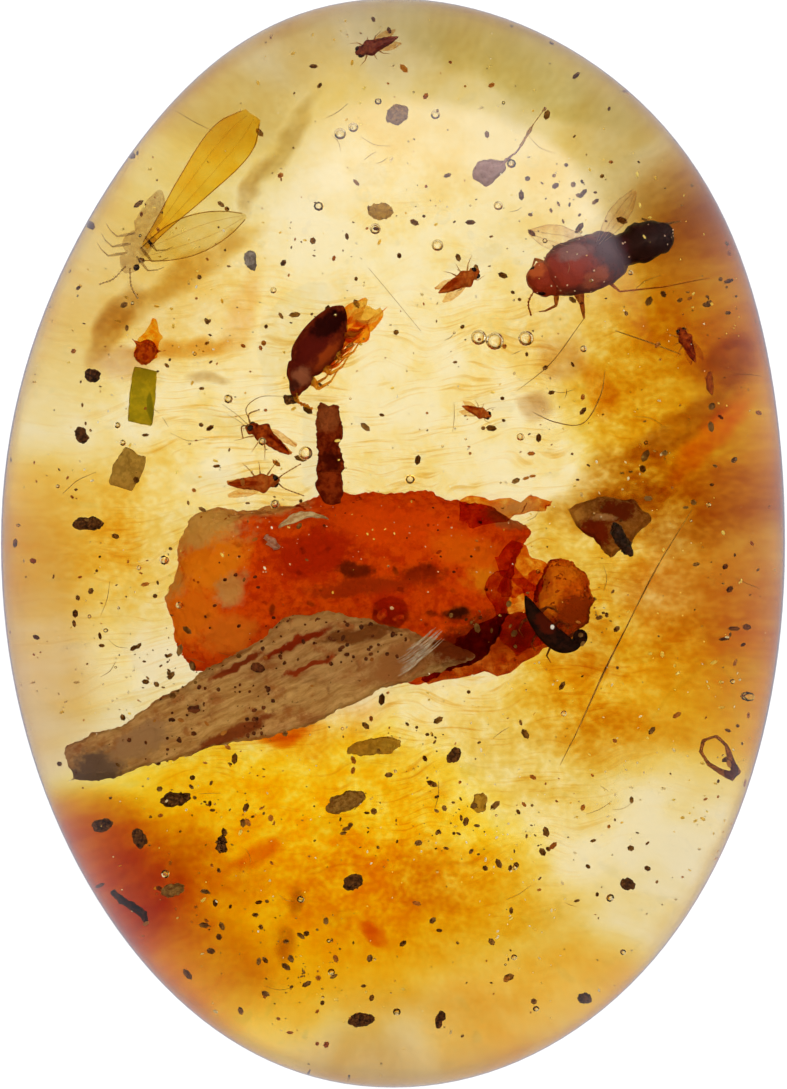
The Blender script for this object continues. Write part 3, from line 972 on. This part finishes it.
def other_debris():
    """The lump, bark, twig, leaf bits, seed, drop and fibres."""
    def keep(name, shader, voxel=0.03, amount=0.05, grain=0.3, extra=()):
        piece = solid(name + "_looks", [(shader, [weathered(name, voxel, amount, grain, 0.3)]), *extra])
        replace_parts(piece, name)

    keep("resin_lump", rough_matter("orange resin", ((0.84, 0.17, 0.004), (0.56, 0.07, 0.002)), 0.20, 0.25, (
        ((3.55, -0.62), (0.50, 0.35), 0, (0.84, 0.24, 0.010)),
        ((3.80, -1.50), (0.80, 0.70), 0, (0.36, 0.05, 0.004)),
        ((3.25, -1.10), (0.40, 0.80), 0, (0.86, 0.26, 0.012)),
    ), glow=0.6, flecks=((0.14, 0.62, (0.30, 0.04, 0.003)),), ragged=1.6, soft=0.35), 0.03, 0.08)
    keep("bark_flake", rough_matter("dark bark", ((0.30, 0.11, 0.018), (0.52, 0.23, 0.05)), 0.12, 0.4, (
        ((4.20, 0.22), (0.62, 0.52), 0, (0.22, 0.024, 0.003)),
        ((4.65, 0.72), (0.60, 0.34), 0, (0.19, 0.026, 0.004)),
        ((4.35, 0.58), (0.34, 0.12), 10, (0.62, 0.34, 0.14)),
        ((3.75, 0.62), (0.34, 0.26), 0, (0.62, 0.32, 0.07)),
    ), glow=0.5, ragged=1.8, soft=0.3))
    bark = rough_matter("twig bark", ((0.17, 0.012, 0.002), (0.38, 0.048, 0.008)), 0.14, 0.4, (
        ((-1.40, 2.72), (0.40, 0.44), 0, (0.42, 0.10, 0.03)),
        ((-1.30, 1.80), (0.40, 0.30), 0, (0.10, 0.008, 0.002)),
    ), 0.05, glow=0.25, soft=0.35)
    stub = crumpled(tube([(-1.36, 1.55, 4.42), (-1.33, 1.20, 4.44), (-1.28, 0.86, 4.46)], [0.26, 0.28, 0.16], 14, 6),
                    0.07, 0.2)
    keep("twig", bark, 0.025, 0.06, 0.16, [(bark, [stub])])
    keep("green_leaf_bit", rough_matter("leaf green", ((0.62, 0.46, 0.015), (0.42, 0.33, 0.012)), 0.20, 0.4, (
        ((-5.05, 2.90), (0.10, 0.55), 8, (0.28, 0.24, 0.010)),
        ((-5.20, 2.45), (0.30, 0.20), 10, (0.66, 0.52, 0.04)),
    ), 0.02, glow=0.5), 0.025, 0.02)
    keep("olive_leaf_bit", rough_matter("leaf olive", ((0.66, 0.44, 0.12), (0.44, 0.27, 0.07)), 0.12, 0.5, glow=0.5),
         0.025, 0.03)
    keep("winged_seed", rough_matter("seed grey", ((0.52, 0.32, 0.34), (0.36, 0.18, 0.18)), 0.16, 0.5, (
        ((3.1, 9.0), (0.8, 0.9), 0, (0.60, 0.34, 0.14)),
    ), glow=0.35), 0.025, 0.03)
    rust = rough_matter("rust red", ((0.74, 0.12, 0.004), (0.40, 0.035, 0.003)), 0.14, 0.25, glow=0.4)
    stain = clear_film("rust stain", (0.94, 0.42, 0.02), (0.5, 1.6), 0.15)
    smear = [crumpled(leaf((-5.24, 3.95, 4.74), (-4.98, 4.86, 4.80), 0.56, (0, 0, 1),
                           (0.30, 0.50, 0.40, 0.34, 0.20, 0.06), 0.05), 0.10, 0.2)]
    keep("rust_drop", rust, 0.03, 0.05, 0.3, [(stain, smear)])
    keep("curled_fibre", rough_matter("fibre brown", ((0.30, 0.09, 0.02), (0.55, 0.20, 0.04)), 0.12, 0.25, (
        ((6.90, -4.90), (0.26, 0.38), 10, (0.14, 0.030, 0.016)),
    ), glow=0.3), 0.02, 0.015)
    keep("root_fibre", rough_matter("fibre black", ((0.02, 0.008, 0.005), (0.06, 0.02, 0.01)), 0.1), 0.025, 0.04)
    keep("red_spindle", rough_matter("spindle red", ((0.55, 0.12, 0.012), (0.36, 0.06, 0.01)), 0.1, 0.3, glow=0.3),
         0.02, 0.02)


def pellets():
    dark = rough_matter("dark pellet", ((0.05, 0.018, 0.006), (0.20, 0.075, 0.022)), 0.09, 0.6, relief=0.04)
    pale = rough_matter("olive pellet", ((0.50, 0.29, 0.08), (0.26, 0.12, 0.03)), 0.10, 0.6, relief=0.04, glow=0.4)
    clear = rough_matter("golden pellet", ((0.66, 0.42, 0.08), (0.44, 0.25, 0.05)), 0.14, 0.6, glow=0.6)
    black = rough_matter("black pellet", ((0.012, 0.006, 0.005), (0.05, 0.018, 0.010)), 0.1, 0.3)
    grey = rough_matter("grey pellet", ((0.44, 0.40, 0.44), (0.26, 0.22, 0.22)), 0.1, 0.6, glow=0.3)
    odd = {"dark_pellet_16": black, "dark_pellet_08": grey, "pale_pellet_02": clear, "pale_pellet_03": clear,
           "pale_pellet_06": clear}
    for name in sorted(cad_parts):
        if "_pellet_" in name:
            shader = odd.get(name, dark if name.startswith("dark") else pale)
            piece = solid(name + "_looks", [(shader, [weathered(name, 0.03, 0.05, 0.14, 0.3)])])
            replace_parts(piece, name)


# ------------------------------------------------------------------ fine things in the amber

def inside(rng, low, high, reach=0.93):
    """A random point in the amber between two heights, even over its plan."""
    z = rng.uniform(low, high)
    share = share_at(z) * reach * math.sqrt(rng.random())
    ring = outline_ring(share, z, 360)
    return ring[rng.randrange(360)]


def near(rng, clump, spread, reach=0.93):
    """A random point in the amber close to another."""
    while True:
        x, y, z = (rng.gauss(c, spread) for c in clump)
        share = math.hypot(x / HALF_WIDTH, y / HALF_LENGTH)
        if 1.2 < z < 6.4 and share < reach * share_at(z):
            return x, y, z


def dust():
    """Specks, crumbs and gold glitter, each kind joined into one piece."""
    kinds = (
        ("dark_specks", 1, 900, (0.012, 0.080), ((0.12, 0.040, 0.008), (0.36, 0.18, 0.05)), "dark_pellet", 0.35),
        ("rust_specks", 2, 240, (0.015, 0.070), ((0.60, 0.24, 0.04), (0.42, 0.11, 0.02)), "orange_resin", 0.4),
        ("pale_specks", 3, 420, (0.010, 0.034), ((0.95, 0.88, 0.70), (0.80, 0.66, 0.42)), "amber", 0.0),
        ("gold_glitter", 4, 420, (0.010, 0.040), ((0.98, 0.78, 0.20), (0.95, 0.60, 0.08)), "amber", 0.0),
    )
    for name, seed, count, sizes, colours, slot, glow in kinds:
        rng = random.Random(seed)
        clumps = [inside(rng, 1.6, 5.6, 0.86) for _ in range(26)]
        clumps += [point for point in clumps if point[1] < -2.0]
        grains = []
        for _ in range(count):
            size = sizes[0] + (sizes[1] - sizes[0]) * rng.random() ** 2.5
            stretch = rng.uniform(1.0, 2.2)
            grain = orb((0, 0, 0), (size * stretch, size, 0.8 * size), 6)
            alone = rng.random() < 0.5
            at = inside(rng, 1.2, 6.4) if alone else near(rng, rng.choice(clumps), 0.55)
            grains += placed([grain], at, (0, 0, rng.uniform(0, 180)))
        shader = rough_matter(name.replace("_", " "), colours, 0.3, 0.5, relief=0, glow=glow)
        solid(name, [(shader, grains)])


def bubbles():
    """Round bubbles of gas, and rings of froth."""
    s = Shader("bubble", Transmission_Weight=1.0, IOR=1 / AMBER_INDEX, Roughness=0.0)
    s.set("Base Color", s.mix(s.noise(0.5), (1.0, 0.99, 0.95), (0.97, 0.93, 0.85)))
    big = ((1.81, 4.46, 4.5, 0.17), (2.15, 4.38, 4.5, 0.20), (0.91, 9.19, 3.5, 0.10), (0.95, 6.44, 4.5, 0.13),
           (2.23, 7.30, 4.5, 0.10), (2.80, 4.44, 4.5, 0.17), (-1.06, 8.81, 3.8, 0.13), (-0.79, 8.95, 3.8, 0.11),
           (-0.36, 6.80, 4.7, 0.12), (-1.85, 1.95, 4.6, 0.15))
    balls = [orb((x, y, z), (r, r, 0.7 * r), 16) for x, y, z, r in big]
    rng = random.Random(8)
    for _ in range(110):
        r = 0.02 + 0.09 * rng.random() ** 3
        balls.append(orb(inside(rng, 1.0, 6.2), (r, r, 0.8 * r), 8))
    solid("bubbles", [(s, balls)])


def hairs():
    """Long thin hairs, and short curved ones scattered about."""
    long = [
        ([(6.07, 0.72, 3.2), (5.37, -0.58, 3.4), (4.90, -1.67, 3.8), (4.40, -2.75, 4.0), (3.89, -3.94, 4.1),
          (3.48, -4.80, 4.1)], [0.005, 0.012, 0.014, 0.024, 0.014, 0.006]),
        ([(5.50, -0.40, 3.6), (5.20, -1.00, 3.6), (4.88, -1.70, 3.8)], [0.004, 0.012, 0.006]),
        ([(2.90, 2.85, 3.9), (3.40, 2.62, 3.9), (3.95, 2.60, 3.9), (4.30, 3.20, 3.9), (4.40, 3.75, 3.9)],
         [0.004, 0.012, 0.010, 0.012, 0.004]),
        ([(2.60, 3.30, 4.2), (3.30, 3.90, 4.2), (4.00, 4.90, 4.0)], [0.004, 0.010, 0.006]),
        ([(4.60, 4.60, 3.8), (5.30, 4.35, 3.8), (5.95, 4.10, 3.8)], [0.008, 0.013, 0.008]),
        ([(-3.00, 2.60, 5.0), (-3.10, 2.92, 5.0), (-2.80, 3.16, 5.0), (-2.30, 3.18, 5.0)],
         [0.008, 0.010, 0.008, 0.004]),
        ([(-3.05, 2.55, 5.0), (-3.30, 2.78, 5.0), (-3.60, 3.00, 5.0)], [0.008, 0.006, 0.003]),
        ([(5.12, 7.00, 3.5), (5.50, 6.90, 3.5), (5.98, 6.99, 3.6)], [0.02, 0.03, 0.01]),
        ([(-0.50, 5.95, 4.6), (-0.05, 5.40, 4.6), (0.60, 4.60, 4.6)], [0.003, 0.005, 0.003]),
    ]
    strands = [tube(points, radii, 6, 8) for points, radii in long]
    rng = random.Random(11)
    for _ in range(46):
        x, y, z = inside(rng, 1.5, 6.0, 0.85)
        turn = rng.gauss(0.1, 0.7)
        reach = rng.uniform(0.2, 0.8)
        bend = rng.uniform(-0.15, 0.15)
        step = (math.cos(turn) * reach, math.sin(turn) * reach)
        strands.append(tube([(x - step[0] / 2, y - step[1] / 2, z), (x - bend * step[1], y + bend * step[0], z),
                             (x + step[0] / 2, y + step[1] / 2, z)], [0.003, 0.007, 0.003], 4, 3))
    shader = rough_matter("hair", ((0.50, 0.26, 0.06), (0.24, 0.10, 0.03)), 0.5, 0.4, relief=0, glow=0.4)
    solid("hairs", [(shader, strands)])


# ------------------------------------------------------------------ stage

def stage():
    reach = 400.0
    s = Shader("pale floor", Roughness=0.6, Emission_Strength=0.93)
    tone = s.mix(s.noise(60.0), (0.12, 0.12, 0.12), (0.11, 0.11, 0.11))
    s.set("Base Color", tone)
    s.set("Emission Color", (1.0, 1.0, 1.0))
    corners = [(-reach, -reach, -0.1), (reach, -reach, -0.1), (reach, reach, -0.1), (-reach, reach, -0.1)]
    mesh = bpy.data.meshes.new("floor")
    mesh.from_pydata([tuple(np.array(c) * METRES) for c in corners], [], [(0, 1, 2, 3)])
    mesh.materials.append(s.material)
    floor = bpy.data.objects.new("floor", mesh)
    bpy.context.scene.collection.objects.link(floor)
    floor.visible_glossy = False


def studio_light():
    """A dim room with one wide soft light on the +Y side, whose edges fade out."""
    world = bpy.data.worlds.new("studio")
    bpy.context.scene.world = world
    world.use_nodes = True
    world.cycles.sampling_method = "NONE"
    tree = world.node_tree

    def node(kind, *inputs, **facts):
        made = tree.nodes.new(kind)
        for key, value in facts.items():
            setattr(made, key, value)
        for socket, value in zip(made.inputs, inputs):
            if isinstance(value, bpy.types.NodeSocket):
                tree.links.new(value, socket)
            elif value is not None:
                socket.default_value = value
        return made.outputs[0]

    way = node("ShaderNodeTexCoord")
    parts = tree.nodes.new("ShaderNodeSeparateXYZ")
    tree.links.new(way, parts.inputs[0])
    x, y, z = parts.outputs
    up = node("ShaderNodeMath", z, 0.02, operation="MAXIMUM")
    masks = []
    for value, middle, half, soft in ((x, WINDOW_MIDDLE[0], WINDOW_HALF[0], 0.30),
                                      (y, WINDOW_MIDDLE[1], WINDOW_HALF[1], 0.30)):
        slope = node("ShaderNodeMath", value, up, operation="DIVIDE")
        offset = node("ShaderNodeMath", slope, middle, operation="SUBTRACT")
        away = node("ShaderNodeMath", offset, operation="ABSOLUTE")
        masks.append(node("ShaderNodeMapRange", away, half + soft, half - soft, 0.0, 1.0,
                          interpolation_type="SMOOTHSTEP"))
    window = node("ShaderNodeMath", masks[0], masks[1], operation="MULTIPLY")
    window = node("ShaderNodeMath", window, WINDOW_LIGHT, operation="MULTIPLY")
    room = node("ShaderNodeMapRange", z, 0.50, -0.85, *ROOM_LIGHT, interpolation_type="SMOOTHSTEP")
    bright = node("ShaderNodeMath", window, room, operation="ADD")
    back = tree.nodes["Background"]
    back.inputs["Color"].default_value = (0.93, 0.90, 1.0, 1.0)
    tree.links.new(bright, back.inputs["Strength"])


def overhead_light():
    """A broad soft light above, which lights the pieces in the amber but isn't mirrored by it."""
    lamp = bpy.data.lights.new("overhead", "AREA")
    lamp.size = OVERHEAD_SIZE * METRES
    lamp.energy = OVERHEAD_LIGHT * math.pi * (OVERHEAD_SIZE * METRES) ** 2
    holder = bpy.data.objects.new("overhead", lamp)
    holder.location = (0, 0, OVERHEAD_HEIGHT * METRES)
    holder.visible_glossy = False
    bpy.context.scene.collection.objects.link(holder)


OVERHEAD_SIZE = 500.0
OVERHEAD_HEIGHT = 140.0
OVERHEAD_LIGHT = 1.8

# Studio: the light of the window and of the room from its dark middle to below its horizon;
# the window's middle and half size are slopes from the vertical, to +X and to +Y
WINDOW_LIGHT = 3.4
ROOM_LIGHT = (0.0, 0.60)
WINDOW_MIDDLE = (0.40, 1.25)
WINDOW_HALF = (0.85, 0.50)


def camera():
    lens = bpy.data.cameras.new("camera")
    lens.lens = LENS
    lens.sensor_width = SENSOR
    lens.clip_start = 0.001
    lens.clip_end = 10.0
    distance = FRAME_HIGH * PIXEL * LENS / SENSOR
    holder = bpy.data.objects.new("camera", lens)
    holder.location = (0.5 * PIXEL * METRES, -1.5 * PIXEL * METRES, (GIRDLE + distance) * METRES)
    bpy.context.scene.collection.objects.link(holder)
    bpy.context.scene.camera = holder


def setup():
    scene = bpy.context.scene
    scene.view_settings.view_transform = "Standard"
    scene.cycles.max_bounces = 10
    scene.cycles.transmission_bounces = 10
    scene.cycles.diffuse_bounces = 1
    scene.cycles.glossy_bounces = 2
    scene.cycles.debug_use_spatial_splits = True
    scene.cycles.use_light_tree = False


def main():
    setup()
    camera()
    studio_light()
    overhead_light()
    stage()
    amber_body()
    deep_flow()
    for name, middle, radii, height, swell, zones in VEILS:
        veil(name, middle, radii, height, swell, zones)
    brown_beetle()
    long_beetle()
    black_beetle()
    winged_insect()
    midges()
    plant_chunk()
    wood_splinter()
    other_debris()
    pellets()
    dust()
    bubbles()
    hairs()


main()
